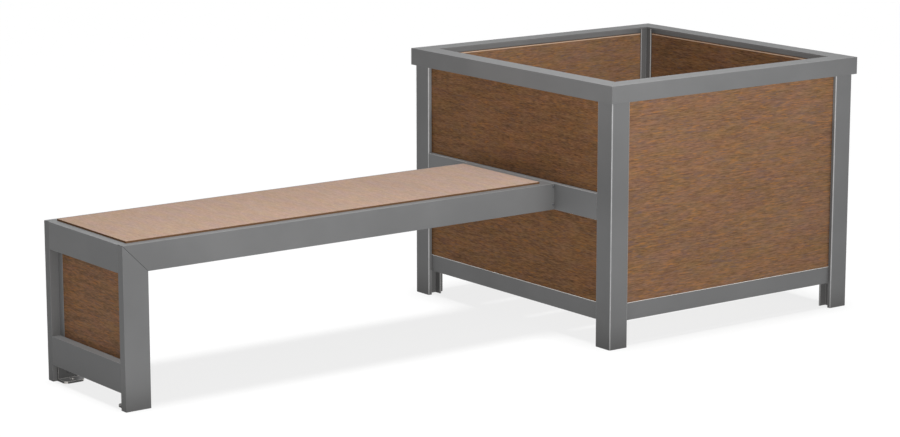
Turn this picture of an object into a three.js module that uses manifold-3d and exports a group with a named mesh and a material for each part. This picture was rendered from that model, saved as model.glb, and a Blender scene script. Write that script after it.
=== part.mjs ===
// A park bench bolted to the side of a square planter. Millimetres, +Z up.
// The origin is on the ground, under the middle of the whole object: +X runs from the bench's free
// end to the planter, and -Y is the front.
import * as THREE from 'three';
import { mergeVertices } from 'three/addons/utils/BufferGeometryUtils.js';
import Module from 'manifold-3d';

// Planter
const planterSide = 933.4;
const planterHeight = 762;
const capThickness = 4.8;
const capSkirtHeight = 50.8;
const capWidth = 61;
const capOverhang = 10.2;
const capEdgeRound = 1;
const capLegThickness = 5;
const capLegSetback = 12;
const capKeyArm = 60;
const capKeyHeight = 38;

// Post section: an outer angle, a slot on each side for a board, and an inner lip behind each slot
const postFace = 65;
const postFlangeDepth = 12;
const postWall = 3;
const postLipThickness = 5.5;
const postLipReach = 67.8;
const postEdgeRound = 4;
const postLipRound = 2.4;
const postInnerEdgeRound = 1;

// Boards and the pockets that hold them
const boardThickness = 25;
const boardEdgeRound = 1.5;
const boardHeadroom = 17;
const pocketLip = 1.5;
const pocketDepth = 8;
const pocketEdgeRound = 1.4;

// Planter rails and floor
const bottomRailHeight = 50.8;
const bottomRailClearance = 76.2;
const bottomRailWall = 2.5;
const cleatLeg = 25;
const cleatThickness = 3;
const cleatDrop = 15;
const slatThickness = 19;
const slatGap = 8;
const slatCount = 4;

// Bench frame
const benchLength = 1432;
const benchWidth = 418;
const benchOffset = 3.5;
const frameTop = 445;
const tubeHeight = 76.2;
const tubeWidth = 25.4;
const tubeWall = 3;
const tubeEdgeRound = 1;
const crossRailWidth = 34.6;
const endRailClearance = 47;
const endRailHeight = 80;
const mitreKeyArm = 60;

// Seat and end board
const seatThickness = 25.4;
const seatProud = 5;
const seatEdgeRound = 1;
const bearerHeight = 50.8;
const bearerCount = 3;
const endBoardLift = 6;
const edgeChannelWidth = 22;

// Anchor brackets
const anchorWidth = 63.5;
const anchorReach = 45;
const anchorHeight = 44;
const anchorThickness = 6.35;
const anchorCornerRound = 13;
const anchorHoleRadius = 6.35;
const anchorBoltHeight = 27;

// Fasteners
const boltRadius = 4;
const boltHeadRadius = 6.5;
const boltHeadHeight = 5;
const boltSocketRadius = 2.6;
const boltSocketDepth = 2.5;
const anchorBoltLength = 16;
const jointBoltLength = 90;
const jointBlockLength = 55;
const screwRadius = 1.9;
const screwHeadRadius = 3.6;
const screwHeadHeight = 2.4;
const screwSocketRadius = 1.2;
const screwSocketDepth = 1.2;
const screwLength = 10;
const screwFromEnd = 5.5;
const screwFromTop = 8;
const screwFromBottom = 16;

// Clearances
const fitGap = 0.3;
const capMitreGap = 0.4;
const benchMitreGap = 0.9;
const cutOverrun = 5;

// Counts, shares and angles
const cornerSteps = 4;
const roundedEdgeShare = 0.95;
const roundSides = 16;
const quarterTurn = Math.PI / 2;
const fullTurn = 2 * Math.PI;

// Sizes worked out from the ones above
const slotWidth = boardThickness + 2 * (pocketLip + 2 * fitGap);
const slotInner = postFlangeDepth + slotWidth;
const slotFloor = slotInner + postWall;
const lipInner = slotInner + postLipThickness;
const planterHalf = planterSide / 2;
const capUnderside = planterHeight - capThickness;
const boardTop = capUnderside - boardHeadroom;
const bottomRailTop = bottomRailClearance + bottomRailHeight;
const railOuter = postFlangeDepth + fitGap;
const railInner = slotInner - fitGap;
const boardOuter = railOuter + pocketLip + fitGap;
const boardInner = boardOuter + boardThickness;
const slottedHalf = planterHalf - slotFloor - fitGap;
const cleatTop = bottomRailTop - cleatDrop;

const benchHalf = benchWidth / 2;
const benchInnerHalf = benchHalf - tubeWidth;
const betweenHalf = benchInnerHalf - fitGap;
const frameUnderside = frameTop - tubeHeight;
const endInner = -benchLength + tubeWidth;
const legInner = -benchLength + tubeHeight;
const crossRailInner = -fitGap - crossRailWidth;
const seatUnderside = frameTop + seatProud - seatThickness;
const channelOuter = endInner + fitGap;
const channelInner = channelOuter + boardThickness + 2 * (pocketLip + fitGap);
const endBoardBottom = endRailClearance + endBoardLift;
const endBoardTop = seatUnderside - fitGap;
const tubeMiddle = benchHalf - tubeWidth / 2;
const jointHeight = frameTop - tubeHeight / 2;
const screwHeights = [frameUnderside + screwFromBottom, frameTop - screwFromTop];
const anchorMiddle = legInner - anchorWidth / 2;

const wasm = await Module();
wasm.setup();

const unitX = new THREE.Vector3(1, 0, 0);
const unitY = new THREE.Vector3(0, 1, 0);
const unitZ = new THREE.Vector3(0, 0, 1);

// How a section is stood up for a bar along each axis. Its two coordinates are then
// y and z for a bar along x, z and x for one along y, and x and y for one along z.
const stand = {
  x: new THREE.Matrix4().makeBasis(unitY, unitZ, unitX),
  y: new THREE.Matrix4().makeBasis(unitZ, unitX, unitY),
  z: new THREE.Matrix4(),
};

// Outline points of a polygon with square corners, each [u, v, radius], rounded where it has a
// radius. Two rounded corners share the edge between them, so neither outgrows it.
function roundedOutline(corners) {
  const points = [];
  corners.forEach(([u, v, asked = 0], index) => {
    const corner = new THREE.Vector2(u, v);
    if (asked === 0) {
      points.push(corner);
      return;
    }
    const neighbours = [index + corners.length - 1, index + 1].map((place) => {
      return corners[place % corners.length];
    });
    const edges = neighbours.map(([x, y]) => new THREE.Vector2(x, y).sub(corner));
    const rooms = edges.map((edge, side) => {
      const share = asked / (asked + (neighbours[side][2] ?? 0));
      return edge.length() * share * roundedEdgeShare;
    });
    const radius = Math.min(asked, ...rooms);
    const [back, ahead] = edges.map((edge) => edge.normalize());
    const centre = corner.clone().addScaledVector(back, radius).addScaledVector(ahead, radius);
    for (let step = 0; step <= cornerSteps; step += 1) {
      const turn = (step / cornerSteps) * quarterTurn;
      const point = centre.clone();
      point.addScaledVector(ahead, -radius * Math.cos(turn));
      point.addScaledVector(back, -radius * Math.sin(turn));
      points.push(point);
    }
  });
  return points;
}

function section(corners, ...holes) {
  const shape = new THREE.Shape(roundedOutline(corners));
  holes.forEach((hole) => shape.holes.push(new THREE.Path(roundedOutline(hole))));
  return shape;
}

function rectangle(u0, u1, v0, v1, radius = 0) {
  return [[u0, v0, radius], [u1, v0, radius], [u1, v1, radius], [u0, v1, radius]];
}

function tube(u0, u1, v0, v1, wall, radius) {
  return section(
    rectangle(u0, u1, v0, v1, radius),
    rectangle(u0 + wall, u1 - wall, v0 + wall, v1 - wall),
  );
}

// An angle section: one leg hangs down at u, the other runs inward along the top.
function angle(u, top, down, inward, thickness, radius) {
  return section([
    [u, top - down],
    [u + thickness, top - down],
    [u + thickness, top - thickness],
    [u + inward, top - thickness],
    [u + inward, top],
    [u, top, radius],
  ]);
}

// The outline of a bar with a pocket along its far side, from the pocket's floor to its mouth.
function pocketed(u0, u1, v0, mouth, floor, lip, radius) {
  return [
    [u0, v0],
    [u1, v0],
    [u1, mouth, radius],
    [u1 - lip, mouth],
    [u1 - lip, floor],
    [u0 + lip, floor],
    [u0 + lip, mouth],
    [u0, mouth, radius],
  ];
}

function circle(u, v, radius) {
  const shape = new THREE.Shape();
  for (let side = 0; side < roundSides; side += 1) {
    const turn = (side / roundSides) * fullTurn;
    const place = [u + radius * Math.cos(turn), v + radius * Math.sin(turn)];
    if (side === 0) shape.moveTo(...place);
    else shape.lineTo(...place);
  }
  return shape;
}

// A straight bar of one section along an axis. Each end is a place on that axis, or for a
// mitre a function that gives the place of each point of the end.
function bar(shape, along, low, high) {
  const geometry = new THREE.ExtrudeGeometry(shape, { depth: 1, bevelEnabled: false });
  geometry.applyMatrix4(stand[along]);
  const position = geometry.getAttribute('position');
  const point = new THREE.Vector3();
  for (let index = 0; index < position.count; index += 1) {
    point.fromBufferAttribute(position, index);
    const end = point[along] > 0 ? high : low;
    point[along] = typeof end === 'function' ? end(point) : end;
    position.setXYZ(index, point.x, point.y, point.z);
  }
  geometry.computeVertexNormals();
  return geometry;
}

function block(x0, x1, y0, y1, z0, z1) {
  return bar(section(rectangle(x0, x1, y0, y1)), 'z', z0, z1);
}

function rod(along, u, v, radius, low, high) {
  return bar(circle(u, v, radius), along, low, high);
}

function ordered(a, b) {
  return a < b ? [a, b] : [b, a];
}

function solidOf(geometry) {
  const bare = new THREE.BufferGeometry();
  bare.setAttribute('position', geometry.getAttribute('position'));
  bare.setIndex(geometry.index);
  const merged = mergeVertices(bare);
  return new wasm.Manifold(new wasm.Mesh({
    numProp: 3,
    vertProperties: merged.getAttribute('position').array,
    triVerts: new Uint32Array(merged.index.array),
  }));
}

function geometryOf(solid) {
  const mesh = solid.getMesh();
  const geometry = new THREE.BufferGeometry();
  geometry.setAttribute('position', new THREE.BufferAttribute(mesh.vertProperties, 3));
  geometry.setIndex(new THREE.BufferAttribute(mesh.triVerts, 1));
  return geometry;
}

function cutFrom(geometry, ...tools) {
  return geometryOf(tools.reduce((left, tool) => left.subtract(solidOf(tool)), solidOf(geometry)));
}

function joined(first, second) {
  return geometryOf(solidOf(first).add(solidOf(second)));
}

// A round-headed fastener with a socket. Its head stands on y = 0 and its shank points down.
function fastener(radius, length, headRadius, headHeight, socketRadius, socketDepth) {
  const shoulderHeight = headHeight / 2;
  const profile = [
    [0, -length],
    [radius, -length],
    [radius, 0],
    [headRadius, 0],
    [headRadius, shoulderHeight],
    [(headRadius + socketRadius) / 2, headHeight],
    [socketRadius, headHeight],
    [socketRadius, headHeight - socketDepth],
    [0, headHeight - socketDepth],
  ];
  return new THREE.LatheGeometry(profile.map(([x, y]) => new THREE.Vector2(x, y)), roundSides);
}

function bolt(length) {
  return fastener(
    boltRadius,
    length,
    boltHeadRadius,
    boltHeadHeight,
    boltSocketRadius,
    boltSocketDepth,
  );
}

function screw() {
  return fastener(
    screwRadius,
    screwLength,
    screwHeadRadius,
    screwHeadHeight,
    screwSocketRadius,
    screwSocketDepth,
  );
}

const finishes = {
  paint: { color: 0x6b6c6d, roughness: 0.45, metalness: 0.4 },
  timber: { color: 0x6b4a33, roughness: 0.7, metalness: 0 },
  seatTimber: { color: 0x8a6a50, roughness: 0.6, metalness: 0 },
  steel: { color: 0x55585a, roughness: 0.35, metalness: 0.9 },
};

function add(parent, name, geometry, finish) {
  const mesh = new THREE.Mesh(geometry, new THREE.MeshStandardMaterial(finishes[finish]));
  mesh.name = name;
  parent.add(mesh);
  return mesh;
}

const part = new THREE.Group();
const overallLength = benchLength + planterSide + capOverhang;
const planterStart = benchLength - overallLength / 2;

const planter = new THREE.Group();
planter.position.x = planterStart + planterHalf;
part.add(planter);

const bench = new THREE.Group();
bench.position.set(planterStart, -benchOffset, 0);
part.add(bench);

// In a side's group x runs along that side, y inward from the posts' outer faces, and z up.
// In a corner's group x and y run inward along the two sides from the post's outer corner.
const sideNames = ['front', 'far', 'back', 'bench'];
const cornerNames = ['bench_front', 'far_front', 'far_back', 'bench_back'];

function turned(quarters, x, y) {
  const pivot = new THREE.Group();
  pivot.rotation.z = quarters * quarterTurn;
  const group = new THREE.Group();
  group.position.set(x, y, 0);
  pivot.add(group);
  planter.add(pivot);
  return group;
}

const sides = sideNames.map((name, index) => turned(index, 0, -planterHalf));
const corners = cornerNames.map((name, index) => turned(index, -planterHalf, -planterHalf));

// Corner posts

function post() {
  const flange = postFlangeDepth;
  const outline = [
    [0, 0, postEdgeRound],
    [postFace, 0, postEdgeRound],
    [postFace, flange, postInnerEdgeRound],
    [slotFloor, flange],
    [slotFloor, slotInner],
    [postLipReach, slotInner, postLipRound],
    [postLipReach, lipInner, postLipRound],
    [lipInner, lipInner],
    [lipInner, postLipReach, postLipRound],
    [slotInner, postLipReach, postLipRound],
    [slotInner, slotFloor],
    [flange, slotFloor],
    [flange, postFace, postInnerEdgeRound],
    [0, postFace, postEdgeRound],
  ];
  const top = capUnderside - fitGap;
  const near = postWall;
  const deep = flange - postWall;
  const end = postFace - postWall;
  const hollows = [
    rectangle(near, slotInner, near, slotInner),
    rectangle(near, deep, slotFloor, end),
    rectangle(slotFloor, end, near, deep),
  ];
  const whole = bar(section(outline), 'z', 0, top);
  return cutFrom(whole, ...hollows.map((hollow) => {
    return bar(section(hollow), 'z', -cutOverrun, top + cutOverrun);
  }));
}

corners.forEach((group, index) => add(group, `post_${cornerNames[index]}`, post(), 'paint'));

// Cap: four mitred angles, each with a short leg that hangs down to its board's top, and a key
// inside each mitre

function capRail() {
  const shape = angle(
    -capOverhang,
    planterHeight,
    capSkirtHeight,
    capWidth,
    capThickness,
    capEdgeRound,
  );
  const reach = (point) => planterHalf - point.y - capMitreGap / 2;
  const legFace = boardInner - capLegSetback;
  const leg = block(
    -slottedHalf,
    slottedHalf,
    legFace - capLegThickness,
    legFace,
    boardTop + fitGap,
    planterHeight - capThickness / 2,
  );
  return joined(bar(shape, 'x', (point) => -reach(point), reach), leg);
}

function capKey() {
  const outer = -capOverhang + capThickness + fitGap;
  const inner = -fitGap;
  const top = capUnderside - fitGap;
  const shape = section([
    [outer, outer],
    [capKeyArm, outer],
    [capKeyArm, inner],
    [inner, inner],
    [inner, capKeyArm],
    [outer, capKeyArm],
  ]);
  return bar(shape, 'z', top - capKeyHeight, top);
}

sides.forEach((group, index) => add(group, `cap_rail_${sideNames[index]}`, capRail(), 'paint'));
corners.forEach((group, index) => add(group, `cap_key_${cornerNames[index]}`, capKey(), 'paint'));

// Bottom rails, in the slots of the posts

function bottomRail() {
  const pocketFloor = bottomRailTop - pocketDepth;
  const outline = pocketed(
    railOuter,
    railInner,
    bottomRailClearance,
    bottomRailTop,
    pocketFloor,
    pocketLip,
    pocketEdgeRound,
  );
  const hollow = rectangle(
    railOuter + bottomRailWall,
    railInner - bottomRailWall,
    bottomRailClearance + bottomRailWall,
    pocketFloor - bottomRailWall,
  );
  return bar(section(outline, hollow), 'x', -slottedHalf, slottedHalf);
}

sides.forEach((group, index) => {
  add(group, `bottom_rail_${sideNames[index]}`, bottomRail(), 'paint');
});

// Side boards: one on each side, and two on the bench side, above and below the middle rail

function sideBoard(bottom, top) {
  const outline = rectangle(
    boardOuter,
    boardInner,
    bottom,
    top,
    boardEdgeRound,
  );
  return bar(section(outline), 'x', -slottedHalf, slottedHalf);
}

const [frontSide, farSide, backSide, benchSide] = sides;
const boardBottom = bottomRailTop - pocketDepth + fitGap;
add(frontSide, 'side_board_front', sideBoard(boardBottom, boardTop), 'timber');
add(farSide, 'side_board_far', sideBoard(boardBottom, boardTop), 'timber');
add(backSide, 'side_board_back', sideBoard(boardBottom, boardTop), 'timber');
const lowerBoard = sideBoard(boardBottom, frameUnderside - fitGap);
add(benchSide, 'side_board_bench_lower', lowerBoard, 'timber');
add(benchSide, 'side_board_bench_upper', sideBoard(frameTop + fitGap, boardTop), 'timber');

// Middle rail: a tube level with the bench frame, flush with the posts' faces, whose ends are
// notched to go behind the posts' flanges

function middleRail() {
  const shape = tube(0, railInner, frameUnderside, frameTop, tubeWall, tubeEdgeRound);
  const between = planterHalf - postFace - fitGap;
  const notches = [-1, 1].map((end) => {
    const [x0, x1] = ordered(end * between, end * planterHalf);
    const low = frameUnderside - cutOverrun;
    const high = frameTop + cutOverrun;
    return block(x0, x1, -cutOverrun, railOuter, low, high);
  });
  const holes = [benchOffset - tubeMiddle, benchOffset + tubeMiddle].map((x) => {
    return rod('y', jointHeight, x, boltRadius + fitGap, -cutOverrun, railInner + cutOverrun);
  });
  return cutFrom(bar(shape, 'x', -slottedHalf, slottedHalf), ...notches, ...holes);
}

add(benchSide, 'middle_rail', middleRail(), 'paint');

// Planter floor: slats on two cleats

function floorCleat() {
  const shape = angle(slotInner, cleatTop, cleatLeg, cleatLeg, cleatThickness, 0);
  const half = planterHalf - postLipReach - fitGap;
  return bar(shape, 'x', -half, half);
}

add(benchSide, 'floor_cleat_bench', floorCleat(), 'paint');
add(farSide, 'floor_cleat_far', floorCleat(), 'paint');

const floorHalf = planterHalf - lipInner - fitGap;
const slatWidth = (2 * floorHalf - (slatCount - 1) * slatGap) / slatCount;
const slatBottom = cleatTop + fitGap;
for (let index = 0; index < slatCount; index += 1) {
  const start = -floorHalf + index * (slatWidth + slatGap);
  const outline = rectangle(
    start,
    start + slatWidth,
    slatBottom,
    slatBottom + slatThickness,
    boardEdgeRound,
  );
  const slat = bar(section(outline), 'x', -floorHalf, floorHalf);
  add(planter, `floor_slat_${index + 1}`, slat, 'timber');
}

// Bench side frames: on each side a seat rail mitred to a leg. In the bench's group x is zero at
// the planter's face and y is zero in the middle, and side is -1 at the front and 1 at the back.

const benchSides = [['front', -1], ['back', 1]];

function seatRail(side) {
  const [y0, y1] = ordered(side * benchHalf, side * benchInnerHalf);
  const shape = tube(y0, y1, frameUnderside, frameTop, tubeWall, tubeEdgeRound);
  const mitre = (point) => -benchLength + frameTop - point.z + benchMitreGap / 2;
  const [wall0, wall1] = ordered(side * (benchHalf + cutOverrun), side * tubeMiddle);
  const holes = screwHeights.map((height) => {
    return rod('y', height, -screwFromEnd, screwRadius + fitGap, wall0, wall1);
  });
  return cutFrom(bar(shape, 'x', mitre, -fitGap), ...holes);
}

function leg(side) {
  const [y0, y1] = ordered(side * benchHalf, side * benchInnerHalf);
  const shape = tube(-benchLength, legInner, y0, y1, tubeWall, tubeEdgeRound);
  const mitre = (point) => frameTop - (point.x + benchLength) - benchMitreGap / 2;
  const [wall0, wall1] = ordered(side * tubeMiddle, side * (benchInnerHalf - cutOverrun));
  const hole = rod('y', anchorBoltHeight, anchorMiddle, boltRadius + fitGap, wall0, wall1);
  return cutFrom(bar(shape, 'z', 0, mitre), hole);
}

function mitreKey(side) {
  const inset = tubeWall + fitGap;
  const [y0, y1] = ordered(side * (benchHalf - inset), side * (benchInnerHalf + inset));
  const top = frameTop - inset;
  const bottom = frameUnderside + inset;
  const outer = -benchLength + inset;
  const inner = legInner - inset;
  const shape = section([
    [frameUnderside - mitreKeyArm, outer],
    [top, outer],
    [top, legInner + mitreKeyArm],
    [bottom, legInner + mitreKeyArm],
    [bottom, inner],
    [frameUnderside - mitreKeyArm, inner],
  ]);
  return bar(shape, 'y', y0, y1);
}

benchSides.forEach(([name, side]) => {
  add(bench, `seat_rail_${name}`, seatRail(side), 'paint');
  add(bench, `bench_leg_${name}`, leg(side), 'paint');
  add(bench, `mitre_key_${name}`, mitreKey(side), 'steel');
});

// Rails across the bench

function acrossRail(x0, x1, z0, z1) {
  return bar(tube(z0, z1, x0, x1, tubeWall, tubeEdgeRound), 'y', -betweenHalf, betweenHalf);
}

const endRailTop = acrossRail(-benchLength, endInner, frameUnderside, frameTop);
const endRailBottom = acrossRail(
  -benchLength,
  endInner,
  endRailClearance,
  endRailClearance + endRailHeight,
);
add(bench, 'end_rail_top', endRailTop, 'paint');
add(bench, 'end_rail_bottom', endRailBottom, 'paint');
add(bench, 'cross_rail', acrossRail(crossRailInner, -fitGap, frameUnderside, frameTop), 'paint');

const bearerTop = seatUnderside - fitGap;
const bearerPitch = (crossRailInner - endInner) / (bearerCount + 1);
for (let number = 1; number <= bearerCount; number += 1) {
  const start = endInner + bearerPitch * number - tubeWidth / 2;
  const bearer = acrossRail(start, start + tubeWidth, bearerTop - bearerHeight, bearerTop);
  add(bench, `seat_bearer_${number}`, bearer, 'paint');
}

// Seat board

const seatOutline = rectangle(
  -betweenHalf,
  betweenHalf,
  seatUnderside,
  frameTop + seatProud,
  seatEdgeRound,
);
const seatBoard = bar(section(seatOutline), 'x', endInner + fitGap, crossRailInner - fitGap);
add(bench, 'seat_board', seatBoard, 'seatTimber');

// End board, held by an edge channel on each leg

const endBoardOutline = rectangle(
  endBoardBottom,
  endBoardTop,
  channelOuter + pocketLip + fitGap,
  channelInner - pocketLip - fitGap,
  boardEdgeRound,
);
const endBoardHalf = betweenHalf - pocketLip - fitGap;
const endBoard = bar(section(endBoardOutline), 'y', -endBoardHalf, endBoardHalf);
add(bench, 'end_board', endBoard, 'timber');

function edgeChannel(side) {
  const back = side * betweenHalf;
  const outline = pocketed(
    channelOuter,
    channelInner,
    back,
    back - side * edgeChannelWidth,
    back - side * pocketLip,
    pocketLip,
    0,
  );
  return bar(section(outline), 'z', endBoardBottom, endBoardTop);
}

benchSides.forEach(([name, side]) => {
  add(bench, `edge_channel_${name}`, edgeChannel(side), 'paint');
});

// Anchor brackets: an angle inside each leg, with a hole for a ground anchor in its foot

function anchorBracket(side) {
  const back = side * betweenHalf;
  const tip = back - side * anchorReach;
  const holeMiddle = back - side * (anchorReach + anchorThickness) / 2;
  const start = legInner - anchorWidth;
  const foot = section([
    [start, back],
    [legInner, back],
    [legInner, tip, anchorCornerRound],
    [start, tip, anchorCornerRound],
  ]);
  foot.holes.push(circle(anchorMiddle, holeMiddle, anchorHoleRadius));
  const [y0, y1] = ordered(back, back - side * anchorThickness);
  const upright = block(start, legInner, y0, y1, 0, anchorHeight);
  const whole = joined(bar(foot, 'z', 0, anchorThickness), upright);
  const [hole0, hole1] = ordered(back + side * cutOverrun, tip);
  const hole = rod('y', anchorBoltHeight, anchorMiddle, boltRadius + fitGap, hole0, hole1);
  return cutFrom(whole, hole);
}

benchSides.forEach(([name, side]) => {
  add(bench, `anchor_bracket_${name}`, anchorBracket(side), 'paint');
  const anchorBolt = add(bench, `anchor_bolt_${name}`, bolt(anchorBoltLength), 'steel');
  const seat = betweenHalf - anchorThickness - fitGap;
  anchorBolt.position.set(anchorMiddle, side * seat, anchorBoltHeight);
  anchorBolt.quaternion.setFromUnitVectors(unitY, new THREE.Vector3(0, -side, 0));
});

// Joint of the bench to the planter: a block in the end of each seat rail, held by two screws, and
// a bolt into it from inside the middle rail

function jointBlock(side) {
  const inset = tubeWall + fitGap;
  const [y0, y1] = ordered(side * (benchHalf - inset), side * (benchInnerHalf + inset));
  const whole = block(
    -fitGap - jointBlockLength,
    -fitGap,
    y0,
    y1,
    frameUnderside + inset,
    frameTop - inset,
  );
  const boltHole = rod(
    'x',
    side * tubeMiddle,
    jointHeight,
    boltRadius + fitGap,
    -jointBlockLength - cutOverrun,
    cutOverrun,
  );
  const [deep0, deep1] = ordered(side * benchHalf, side * (benchHalf - screwLength - fitGap));
  const screwHoles = screwHeights.map((height) => {
    return rod('y', height, -screwFromEnd, screwRadius + fitGap, deep0, deep1);
  });
  return cutFrom(whole, boltHole, ...screwHoles);
}

benchSides.forEach(([name, side]) => {
  add(bench, `joint_block_${name}`, jointBlock(side), 'steel');
  const jointBolt = add(bench, `joint_bolt_${name}`, bolt(jointBoltLength), 'steel');
  jointBolt.position.set(railInner + fitGap, side * tubeMiddle, jointHeight);
  jointBolt.quaternion.setFromUnitVectors(unitY, unitX);
  screwHeights.forEach((height, index) => {
    const level = ['lower', 'upper'][index];
    const jointScrew = add(bench, `joint_screw_${name}_${level}`, screw(), 'steel');
    jointScrew.position.set(-screwFromEnd, side * (benchHalf + fitGap), height);
    jointScrew.quaternion.setFromUnitVectors(unitY, new THREE.Vector3(0, side, 0));
  });
});

export default part;
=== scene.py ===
import math

import bpy
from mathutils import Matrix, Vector


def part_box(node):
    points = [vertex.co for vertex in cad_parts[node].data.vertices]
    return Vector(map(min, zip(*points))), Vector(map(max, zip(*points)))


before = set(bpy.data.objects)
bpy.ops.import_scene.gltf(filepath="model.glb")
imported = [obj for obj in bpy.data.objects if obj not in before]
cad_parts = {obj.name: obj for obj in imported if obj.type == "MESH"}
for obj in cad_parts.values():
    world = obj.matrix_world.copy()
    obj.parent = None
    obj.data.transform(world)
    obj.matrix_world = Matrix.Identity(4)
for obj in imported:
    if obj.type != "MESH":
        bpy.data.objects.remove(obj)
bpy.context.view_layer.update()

bpy.context.scene.view_settings.view_transform = "Standard"

# Places and lengths are in metres, angles in degrees, and colours linear. A range holds the value
# where something starts and the value where it is full.

WHITE = (1.0, 1.0, 1.0)
NOISE_RANGE = (0.2, 0.8)

# Camera: where the photograph was taken from
CAMERA_PLACE = (-4.6926, -6.3234, 1.9509)
CAMERA_TURN = 36.735
CAMERA_DOWN = 11.58
CAMERA_ROLL = 0.014
LENS_MM = 110.887
SENSOR_MM = 36.0

# Edges
WELD_REACH = 0.00001
FLAT_ANGLE = 0.5
EDGE_ROUND = 0.0004
EDGE_STEPS = 2
EDGE_ANGLE = 40.0

# What a normal tells: its greatest part a rounded edge, its height an upward face, and the smaller
# of its x and z a slanting mitre
ROUNDED_RANGE = (0.995, 0.90)
UPWARD_RANGE = (0.80, 0.98)
MITRE_RANGE = (0.12, 0.25)

# Painted shade in inner corners: its colour, how far it reaches, the heights between which it
# begins to be left off, and how much an upward face or a high place adds to the openness of a place
CORNER_SHADE = (0.56, 0.55, 0.54)
SHADE_REACH = 0.13
SHADE_SAMPLES = 8
SHADE_FREE_HEIGHTS = (0.54, 0.62)
UNSHADED_SHARE = 0.4
LIT_RANGE = (0.30, 0.95)

# Paint. A noise has its features a metre, detail and roughness, and a bump its strength and depth
PAINT_GREY = (0.172, 0.173, 0.174)
PAINT_DARK = (0.158, 0.159, 0.160)
PAINT_LIGHT = (0.186, 0.187, 0.188)
# The worn tones below are for rounded edges: worn paint and a painted highlight where they catch
# light
PAINT_WORN_HIGHLIGHT = (0.440, 0.442, 0.445)
PAINT_RUBBED_HIGHLIGHT = (0.900, 0.880, 0.840)
# Near-black painted shade in the mitre gaps of the bench's frame
MITRE_GAP_SHADE = (0.020, 0.020, 0.020)
PAINT_CLOUDS = (3.5, 3.0, 0.5)
PAINT_SPECKLE = (900.0, 1.0, 0.5)
PAINT_PEEL = (420.0, 2.0, 0.5)
PAINT_SCUFFS = (30.0, 4.0, 0.6)
CLOUD_RANGE = (0.30, 0.70)
SPECKLE_RANGE = (0.55, 0.80)
SPECKLE_SHARE = 0.25
SPECKLE_ROUGHNESS = 0.05
SCUFF_RANGE = (0.35, 0.60)
SCUFF_LOW_SHARE = 0.80
PAINT_ROUGHNESS = (0.38, 0.46)
PAINT_BUMP = (0.25, 0.0001)
PAINT_GLOSS = 0.1

# Wear and painted highlight of the rounded edges go from 0 to 1. A row of PAINTS has the start of a
# node's name, the material's name and its settings. The first row that fits a node counts, so the
# last is the rest's
FRAME_WEAR_AND_HIGHLIGHT = 0.2
FULL_WEAR_AND_HIGHLIGHT = 1.0
# A row's shade paints light and shade: the part is made paler or darker than the others by how much
# light falls on it where it stands
PAINTS = (
    # The far post keeps its painted corner shade high up as well
    ("post_far_back", "grey_far_post", {"wear_and_highlight": FULL_WEAR_AND_HIGHLIGHT, "lit_high_up": False}),
    ("post_", "grey_extrusion", {"wear_and_highlight": FULL_WEAR_AND_HIGHLIGHT}),
    ("bottom_rail", "grey_rail", {"wear_and_highlight": FULL_WEAR_AND_HIGHLIGHT, "worn_highlight_tone": PAINT_RUBBED_HIGHLIGHT}),
    ("middle_rail", "grey_middle_rail", {"wear_and_highlight": FULL_WEAR_AND_HIGHLIGHT, "shade": 1.14}),
    ("cap_rail", "grey_cap", {"shade": 1.02}),
    ("seat_rail", "grey_mitred_frame", {"mitred": True}),
    ("bench_leg_back", "grey_back_leg", {"mitred": True, "shade": 0.90}),
    ("bench_leg_front", "grey_front_leg", {"mitred": True, "shade": 1.05}),
    ("end_rail_top", "grey_end_rail", {"shade": 1.12}),
    ("edge_channel", "grey_edge_channel", {"shade": 1.25}),
    (
        "anchor_bracket",
        "grey_bracket",
        {"wear_and_highlight": FULL_WEAR_AND_HIGHLIGHT, "worn_highlight_tone": PAINT_RUBBED_HIGHLIGHT, "shade": 0.60},
    ),
    ("", "grey_frame", {}),
)

# Boards: the tone of most, the tones of the others by name, and what varies in all of them. The
# named tones are partly each board's own and partly painted light and shade, paler or darker by
# the light each board stands in; the seat's pale top over the darker tone of its sides paints its
# sheen
BOARD_TONE = (0.178, 0.088, 0.040)
BOARD_TONES = {
    "side_board_front": (0.219, 0.120, 0.067),
    "side_board_back": (0.200, 0.113, 0.064),
    "side_board_far": (0.162, 0.084, 0.041),
    "end_board": (0.236, 0.117, 0.054),
    "seat_board": (0.408, 0.285, 0.220),
}
SEAT_SIDE = (0.135, 0.074, 0.040)
COOL_TINT = (0.97, 0.99, 1.10)
WARM_TINT = (1.02, 1.01, 0.90)
GREEN_TINT = (0.97, 1.02, 0.98)
RED_TINT = (1.03, 0.98, 1.02)
ORANGE_FACTORS = (1.65, 1.35, 0.8)
VIOLET_FACTORS = (0.7, 0.85, 1.35)
ORANGE_RANGE = (0.59, 0.70)
VIOLET_RANGE = (0.60, 0.74)
BOARD_ROUGHNESS = (0.58, 0.48)
BOARD_BUMP = (0.35, 0.0002)
BOARD_SHIFT = 0.37

# The seat's top is paler towards the planter, which is painted light, and the other boards have a
# painted highlight along their top edge, in a band that starts and is full so far below the top
SEAT_LIGHT_TINT = (1.04, 1.08, 1.14)
SEAT_LIGHT_RANGE = (-0.35, 0.25)
BOARD_TOP_HIGHLIGHT = (0.560, 0.400, 0.290)
TOP_HIGHLIGHT_FROM = 0.0035
TOP_HIGHLIGHT_TO = 0.0020

# Board figures: length along the grain, thickness, detail, roughness and distortion
CLOUDS = (0.300, 0.120, 2.0, 0.5, 0.0)
ORANGE = (0.030, 0.0026, 1.0, 0.5, 0.0)
VIOLET = (0.035, 0.0040, 1.0, 0.5, 0.3)
WARMTH = (0.110, 0.030, 3.0, 0.6, 0.0)
REDNESS = (0.080, 0.025, 3.0, 0.6, 0.0)

# A figure's middle value, and how strongly each figure moves the tone from there
FIGURE_MIDDLE = 0.5
FIBRE_GAIN = 2.4
GRAIN_GAIN = 1.2
CLOUD_GAIN = 0.5

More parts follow.
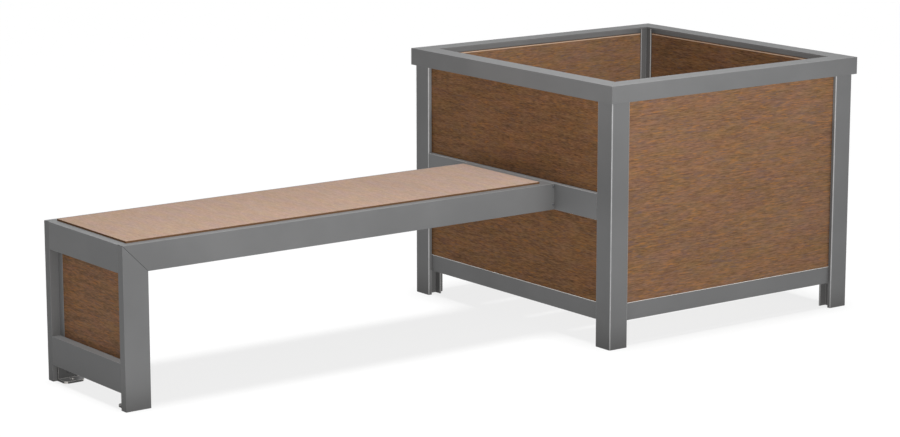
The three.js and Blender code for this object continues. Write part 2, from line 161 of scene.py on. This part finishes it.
# Kinds of board: the axis that the grain follows, its two finest figures, how strong it is, and
# how glossy the board is
BOARD_KINDS = {
    "along_x": {
        "axis": 0,
        "fibre": (0.018, 0.0014, 2.0, 0.6, 0.1),
        "grain": (0.065, 0.0045, 2.0, 0.5, 0.2),
        "tint_range": (0.30, 0.70),
        "contrast": 0.37,
        "fleck_share": 0.80,
        "gloss": 0.06,
    },
    "along_y": {
        "axis": 1,
        "fibre": (0.020, 0.0018, 2.0, 0.6, 0.1),
        "grain": (0.090, 0.0090, 2.0, 0.5, 0.2),
        "tint_range": (0.30, 0.70),
        "contrast": 0.47,
        "fleck_share": 0.80,
        "gloss": 0.06,
    },
    # The seat's figure is faint, as its painted sheen washes out the grain
    "seat": {
        "axis": 1,
        "fibre": (0.013, 0.0018, 2.0, 0.6, 0.1),
        "grain": (0.050, 0.0060, 2.0, 0.5, 0.2),
        "tint_range": (0.15, 0.85),
        "contrast": 0.14,
        "fleck_share": 0.18,
        "gloss": 0.004,
    },
}

# The kind of each board, by the start of its name
BOARDS = {
    "side_board_front": "along_x",
    "side_board_back": "along_x",
    "floor_slat": "along_x",
    "side_board_far": "along_y",
    "side_board_bench": "along_y",
    "end_board": "along_y",
    "seat_board": "seat",
}

# Steel of the mitre keys, the joints and the anchor bolts
STEEL = ("mitre_key", "joint_", "anchor_bolt")
ZINC_DARK = (0.060, 0.062, 0.066)
ZINC_LIGHT = (0.120, 0.122, 0.126)
ZINC_MOTTLE = (260.0, 3.0, 0.5)
ZINC_METALLIC = 0.8
ZINC_ROUGHNESS = (0.32, 0.48)
ZINC_BUMP = (0.2, 0.0001)

# Floor: it glows white where it is seen, keeps the shadow of a sun of its own, and bounces little
FLOOR_HALF = 60.0
FLOOR_DROP = 0.0005
FLOOR_WHITE = (0.08, 0.08, 0.08)
FLOOR_GLOW = 0.785
FLOOR_BOUNCE = 0.41
FLOOR_SUN_STRENGTH = 7.3
FLOOR_SUN_ANGLE = 16.0

# Suns: strength, angular size, lean from overhead to the front, turn from there about the
# vertical, and whether it casts a shadow
SUNS = (
    ("overhead", 0.80, 25.0, 0.0, 0.0, True),
    ("front_fill", 1.16, 50.0, 85.0, 0.0, False),
    ("right_fill", 0.942, 50.0, 90.0, 90.0, False),
    ("back_fill", 0.942, 50.0, 90.0, 180.0, False),
)

# Softboxes: place, size and power in watts
LAMP_AIM = (0.0, 0.0, 0.4)
SOFTBOXES = (
    ("key", (-0.7, -1.2, 2.2), 1.0, 31.0),
    ("front", (0.6, -1.8, 2.2), 1.2, 21.0),
    ("left", (-2.9, -1.0, 1.8), 1.2, 22.0),
)

# Sockets of a Mix node for colours
MIX_SHARE = 0
MIX_FIRST = 6
MIX_SECOND = 7
MIX_RESULT = 2


def colour(rgb):
    return (*rgb, 1.0)


def colour_input(value):
    """A socket as it is, and an RGB triple as a colour."""
    return value if isinstance(value, bpy.types.NodeSocket) else colour(value)


def scaled(rgb, factors):
    return [channel * factor for channel, factor in zip(rgb, factors)]


def shaded(rgb, shade):
    return scaled(rgb, [shade] * len(rgb))


class Graph:
    """A short way to write the nodes of a material or of the world."""

    def __init__(self, tree):
        self.tree = tree
        tree.nodes.clear()

    def add(self, kind, inputs=None, **settings):
        """A node of that kind. An input is a socket to link or a constant value."""
        node = self.tree.nodes.new("ShaderNode" + kind)
        for name, value in settings.items():
            setattr(node, name, value)
        for name, value in (inputs or {}).items():
            if isinstance(value, bpy.types.NodeSocket):
                self.tree.links.new(value, node.inputs[name])
            else:
                node.inputs[name].default_value = value
        return node

    def noise(self, place, scale, detail, roughness, distortion=0.0):
        """Noise with that many features in each unit of its place."""
        wanted = {
            "Vector": place,
            "Scale": scale,
            "Detail": detail,
            "Roughness": roughness,
            "Distortion": distortion,
        }
        return self.add("TexNoise", wanted).outputs["Fac"]

    def spread(self, value, low, high, to_low=0.0, to_high=1.0):
        """The value spread from low and high to another range, and kept inside it."""
        wanted = {
            "Value": value,
            "From Min": low,
            "From Max": high,
            "To Min": to_low,
            "To Max": to_high,
        }
        return self.add("MapRange", wanted, interpolation_type="SMOOTHSTEP").outputs["Result"]

    def math(self, operation, *values):
        return self.add("Math", dict(enumerate(values)), operation=operation).outputs[0]

    def mix(self, share, first, second, blend_type="MIX"):
        """A colour between two, each a socket or an RGB triple."""
        wanted = {
            MIX_SHARE: share,
            MIX_FIRST: colour_input(first),
            MIX_SECOND: colour_input(second),
        }
        return self.add("Mix", wanted, data_type="RGBA", blend_type=blend_type).outputs[MIX_RESULT]

    def tint(self, body, factors):
        return self.mix(1.0, body, factors, blend_type="MULTIPLY")

    def bump(self, height, strength, distance):
        wanted = {"Height": height, "Strength": strength, "Distance": distance}
        return self.add("Bump", wanted).outputs["Normal"]

    def place(self):
        return self.add("TexCoord").outputs["Object"]

    def parts(self, vector):
        return self.add("SeparateXYZ", {"Vector": vector}).outputs

    def facing(self):
        """How much the surface faces along x, y and z, each from 0 to 1."""
        normal = self.add("TexCoord").outputs["Normal"]
        turned = self.add("VectorMath", {0: normal}, operation="ABSOLUTE").outputs["Vector"]
        return self.parts(turned)

    def rounded(self):
        """1 in the middle of a rounded edge, and 0 on flats, which all face along an axis."""
        x, y, z = self.facing()
        greatest = self.math("MAXIMUM", self.math("MAXIMUM", x, y), z)
        return self.spread(greatest, *ROUNDED_RANGE)

    def upward(self):
        """1 on a face that looks up, and 0 on an upright or lower one."""
        normal = self.add("TexCoord").outputs["Normal"]
        return self.spread(self.parts(normal)["Z"], *UPWARD_RANGE)

    def mitred(self):
        """1 in a mitre joint of the bench's frame, which slants in x and z, and 0 elsewhere."""
        x, _, z = self.facing()
        return self.spread(self.math("MINIMUM", x, z), *MITRE_RANGE)

    def corner_shaded(self, body, lit_high_up=True):
        """The colour with painted shade in the inner corners. The shade is left off the upward
        faces, and on a part that is lit high up also off everything high up."""
        near = {"Distance": SHADE_REACH}
        # Painted shade: darker where a corner closes in
        openness = self.add("AmbientOcclusion", near, samples=SHADE_SAMPLES).outputs["AO"]
        unshaded = self.upward()
        if lit_high_up:
            height = self.parts(self.place())["Z"]
            unshaded = self.math("MAXIMUM", self.spread(height, *SHADE_FREE_HEIGHTS), unshaded)
        lit_share = self.math("MULTIPLY_ADD", unshaded, UNSHADED_SHARE, openness)
        return self.tint(body, self.mix(self.spread(lit_share, *LIT_RANGE), CORNER_SHADE, WHITE))

    def finish(self, **inputs):
        """Ends a material with a shader, whose inputs have _ for each space in their names."""
        wanted = {name.replace("_", " "): value for name, value in inputs.items()}
        shader = self.add("BsdfPrincipled", wanted)
        self.add("OutputMaterial", {"Surface": shader.outputs["BSDF"]})


def material(name):
    made = bpy.data.materials.new(name)
    made.use_nodes = True
    return made, Graph(made.node_tree)


def paint_material(
    name, wear_and_highlight=FRAME_WEAR_AND_HIGHLIGHT, worn_highlight_tone=PAINT_WORN_HIGHLIGHT, mitred=False, shade=1.0, lit_high_up=True
):
    """Grey powder coat: faint clouds, an orange-peel skin, and rounded edges worn paler with a
    painted highlight. A mitred part has painted shade in its mitre gap, and the shade paints light
    and shade on a part by making it paler or darker than the others."""
    made, graph = material(name)
    place = graph.place()
    clouds = graph.noise(place, *PAINT_CLOUDS)
    speckle = graph.noise(place, *PAINT_SPECKLE)
    peel = graph.noise(place, *PAINT_PEEL)
    scuffs = graph.noise(place, *PAINT_SCUFFS)
    # The shade makes this part's greys paler or darker, as painted light and shade
    dark, middle, light = (shaded(tone, shade) for tone in (PAINT_DARK, PAINT_GREY, PAINT_LIGHT))
    grey = graph.mix(graph.spread(clouds, *CLOUD_RANGE), dark, light)
    grey = graph.mix(graph.spread(speckle, *SPECKLE_RANGE, 0.0, SPECKLE_SHARE), grey, middle)
    # Rounded edges worn paler with a painted highlight, which the scuffs make uneven
    worn_highlight = graph.spread(scuffs, *SCUFF_RANGE, SCUFF_LOW_SHARE * wear_and_highlight, wear_and_highlight)
    body = graph.mix(graph.math("MULTIPLY", graph.rounded(), worn_highlight), grey, worn_highlight_tone)
    if mitred:
        # Painted shade in the mitre gap
        body = graph.mix(graph.mitred(), body, MITRE_GAP_SHADE)
    cloud_roughness = graph.spread(clouds, *NOISE_RANGE, *PAINT_ROUGHNESS)
    speckle_roughness = graph.math("MULTIPLY", speckle, SPECKLE_ROUGHNESS)
    graph.finish(
        Base_Color=graph.corner_shaded(body, lit_high_up),
        Roughness=graph.math("ADD", cloud_roughness, speckle_roughness),
        Normal=graph.bump(peel, *PAINT_BUMP),
        Specular_IOR_Level=PAINT_GLOSS,
    )
    return made


def wood_material(name, kind, tone, shift, side_tone=None, top=None):
    """Brown board with short fine grain along one axis. The shift gives each board its own figure.
    A board with another tone on its sides has a pale top that paints its sheen, paler still towards
    the planter as painted light. One whose top height is given has a painted highlight along its
    top edge and painted shade in its corners."""
    made, graph = material(name)
    place = graph.place()
    axis = kind["axis"]

    def figure(length, thickness, detail, roughness, distortion):
        """Noise that is stretched along the grain."""
        scale = [1.0 / thickness] * 3
        scale[axis] = 1.0 / length
        wanted = {"Vector": place, "Location": shift, "Scale": scale}
        mapped = graph.add("Mapping", wanted).outputs["Vector"]
        return graph.noise(mapped, 1.0, detail, roughness, distortion)

    fibre = figure(*kind["fibre"])
    grain = figure(*kind["grain"])
    level = FIGURE_MIDDLE
    for part, gain in ((fibre, FIBRE_GAIN), (grain, GRAIN_GAIN), (figure(*CLOUDS), CLOUD_GAIN)):
        centred = graph.math("MULTIPLY_ADD", part, gain, -FIGURE_MIDDLE * gain)
        level = graph.math("ADD", centred, level)
    level = graph.add("Clamp", {"Value": level}).outputs[0]
    contrast = kind["contrast"]
    body = graph.mix(level, shaded(tone, 1.0 - contrast), shaded(tone, 1.0 + contrast))
    for patches, low_tint, high_tint in (
        (WARMTH, COOL_TINT, WARM_TINT),
        (REDNESS, GREEN_TINT, RED_TINT),
    ):
        share = graph.spread(figure(*patches), *kind["tint_range"])
        body = graph.tint(body, graph.mix(share, low_tint, high_tint))
    for flecks, flecks_range, factors in (
        (ORANGE, ORANGE_RANGE, ORANGE_FACTORS),
        (VIOLET, VIOLET_RANGE, VIOLET_FACTORS),
    ):
        share = graph.spread(figure(*flecks), *flecks_range, 0.0, kind["fleck_share"])
        body = graph.mix(share, body, scaled(tone, factors))
    if side_tone is not None:
        # Painted light: the seat's top paler and bluer towards the planter
        planter_light = graph.spread(graph.parts(place)["X"], *SEAT_LIGHT_RANGE)
        body = graph.tint(body, graph.mix(planter_light, WHITE, SEAT_LIGHT_TINT))
        # The seat's pale top over the darker tone of its sides paints its sheen
        body = graph.mix(graph.upward(), side_tone, body)
    if top is not None:
        # A painted highlight along the board's top edge
        height = graph.parts(place)["Z"]
        near_top = graph.spread(height, top - TOP_HIGHLIGHT_FROM, top - TOP_HIGHLIGHT_TO)
        body = graph.mix(graph.math("SUBTRACT", near_top, graph.upward()), body, BOARD_TOP_HIGHLIGHT)
        body = graph.corner_shaded(body)
    graph.finish(
        Base_Color=body,
        Roughness=graph.spread(fibre, *NOISE_RANGE, *BOARD_ROUGHNESS),
        Normal=graph.bump(graph.math("ADD", fibre, grain), *BOARD_BUMP),
        Specular_IOR_Level=kind["gloss"],
    )
    return made


def steel_material():
    """Dark zinc-plated steel, finely mottled."""
    made, graph = material("dark_zinc")
    mottle = graph.noise(graph.place(), *ZINC_MOTTLE)
    graph.finish(
        Base_Color=graph.mix(mottle, ZINC_DARK, ZINC_LIGHT),
        Metallic=ZINC_METALLIC,
        Roughness=graph.spread(mottle, *NOISE_RANGE, *ZINC_ROUGHNESS),
        Normal=graph.bump(mottle, *ZINC_BUMP),
    )
    return made


def board_material(name, kind_name, number):
    """The material of that board. Its number among the nodes sets it apart from the others."""
    kind = BOARD_KINDS[kind_name]
    tone = BOARD_TONES.get(name, BOARD_TONE)
    shift = [number * BOARD_SHIFT * (axis + 1) for axis in range(3)]
    if kind_name == "seat":
        return wood_material("board_" + name, kind, tone, shift, side_tone=SEAT_SIDE)
    return wood_material("board_" + name, kind, tone, shift, top=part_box(name)[1][2])


def soften(obj):
    """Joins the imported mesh's triangles into faces and rounds its sharp edges a little."""
    weld = obj.modifiers.new("weld", "WELD")
    weld.merge_threshold = WELD_REACH
    flat = obj.modifiers.new("flat_faces", "DECIMATE")
    flat.decimate_type = "DISSOLVE"
    flat.angle_limit = math.radians(FLAT_ANGLE)
    bevel = obj.modifiers.new("edge_round", "BEVEL")
    bevel.width = EDGE_ROUND
    bevel.segments = EDGE_STEPS
    bevel.limit_method = "ANGLE"
    bevel.angle_limit = math.radians(EDGE_ANGLE)
    bevel.harden_normals = True
    bevel.use_clamp_overlap = True


def dress():
    """Gives each node its material and its softened edges."""
    paints = {start: paint_material(name, **settings) for start, name, settings in PAINTS}
    steel = steel_material()
    for number, (name, obj) in enumerate(sorted(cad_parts.items())):
        kind_name = next((kind for start, kind in BOARDS.items() if name.startswith(start)), None)
        if kind_name is not None:
            finish = board_material(name, kind_name, number)
        elif name.startswith(STEEL):
            finish = steel
        else:
            finish = next(paint for start, paint in paints.items() if name.startswith(start))
        obj.material_slots[0].material = finish
        soften(obj)


def put_in_scene(name, data):
    made = bpy.data.objects.new(name, data)
    bpy.context.scene.collection.objects.link(made)
    return made


def make_camera():
    data = bpy.data.cameras.new("camera")
    data.lens = LENS_MM
    data.sensor_width = SENSOR_MM
    data.sensor_fit = "HORIZONTAL"
    camera = put_in_scene("camera", data)
    camera.location = CAMERA_PLACE
    turn = (90 - CAMERA_DOWN, CAMERA_ROLL, -CAMERA_TURN)
    camera.rotation_euler = [math.radians(angle) for angle in turn]
    bpy.context.scene.camera = camera


def seen(graph):
    """1 for a ray from the camera, off a glossy surface or through glass, and 0 for the others."""
    path = graph.add("LightPath").outputs
    bounced = graph.math("MAXIMUM", path["Is Glossy Ray"], path["Is Transmission Ray"])
    return graph.math("MAXIMUM", path["Is Camera Ray"], bounced)


def make_floor():
    """A white floor that shows the object's shadow and gives back little light."""
    mesh = bpy.data.meshes.new("floor")
    half = FLOOR_HALF
    corners = [(-half, -half, 0), (half, -half, 0), (half, half, 0), (-half, half, 0)]
    mesh.from_pydata(corners, [], [(0, 1, 2, 3)])
    floor = put_in_scene("floor", mesh)
    floor.location.z = -FLOOR_DROP
    made, graph = material("white_floor")
    shadowed = graph.add("BsdfDiffuse", {"Color": colour(FLOOR_WHITE)})
    glow = graph.add("Emission", {"Color": colour(WHITE), "Strength": FLOOR_GLOW})
    shown = graph.add("AddShader", {0: shadowed.outputs[0], 1: glow.outputs[0]})
    bounce = graph.add("Emission", {"Color": colour(WHITE), "Strength": FLOOR_BOUNCE})
    both = graph.add("MixShader", {0: seen(graph), 1: bounce.outputs[0], 2: shown.outputs[0]})
    graph.add("OutputMaterial", {"Surface": both.outputs[0]})
    mesh.materials.append(made)
    return floor


def make_world():
    """White where it is seen, and no light of its own."""
    world = bpy.data.worlds.new("studio")
    world.use_nodes = True
    graph = Graph(world.node_tree)
    background = graph.add("Background", {"Color": colour(WHITE), "Strength": seen(graph)})
    graph.add("OutputWorld", {"Surface": background.outputs[0]})
    bpy.context.scene.world = world


def make_sun(name, strength, angle, lean=0.0, turn=0.0, shadow=True):
    data = bpy.data.lights.new(name, "SUN")
    data.energy = strength
    data.angle = math.radians(angle)
    data.use_shadow = shadow
    sun = put_in_scene(name, data)
    sun.rotation_euler = (math.radians(lean), 0.0, math.radians(turn))
    return sun


def make_softbox(name, place, size, power):
    """A square lamp that faces the middle of the object and casts no shadow."""
    data = bpy.data.lights.new(name, "AREA")
    data.size = size
    data.energy = power
    data.use_shadow = False
    box = put_in_scene(name, data)
    box.location = place
    aim = Vector(LAMP_AIM) - Vector(place)
    box.rotation_euler = aim.to_track_quat("-Z", "Y").to_euler()


def make_stage():
    """The floor with a sun that lights it alone, the world and the lamps."""
    floor = make_floor()
    make_world()
    for sun in SUNS:
        make_sun(*sun)
    floor_sun = make_sun("floor_shadow", FLOOR_SUN_STRENGTH, FLOOR_SUN_ANGLE)
    lit = bpy.data.collections.new("floor_only")
    lit.objects.link(floor)
    floor_sun.light_linking.receiver_collection = lit
    for softbox in SOFTBOXES:
        make_softbox(*softbox)


make_camera()
make_stage()
dress()
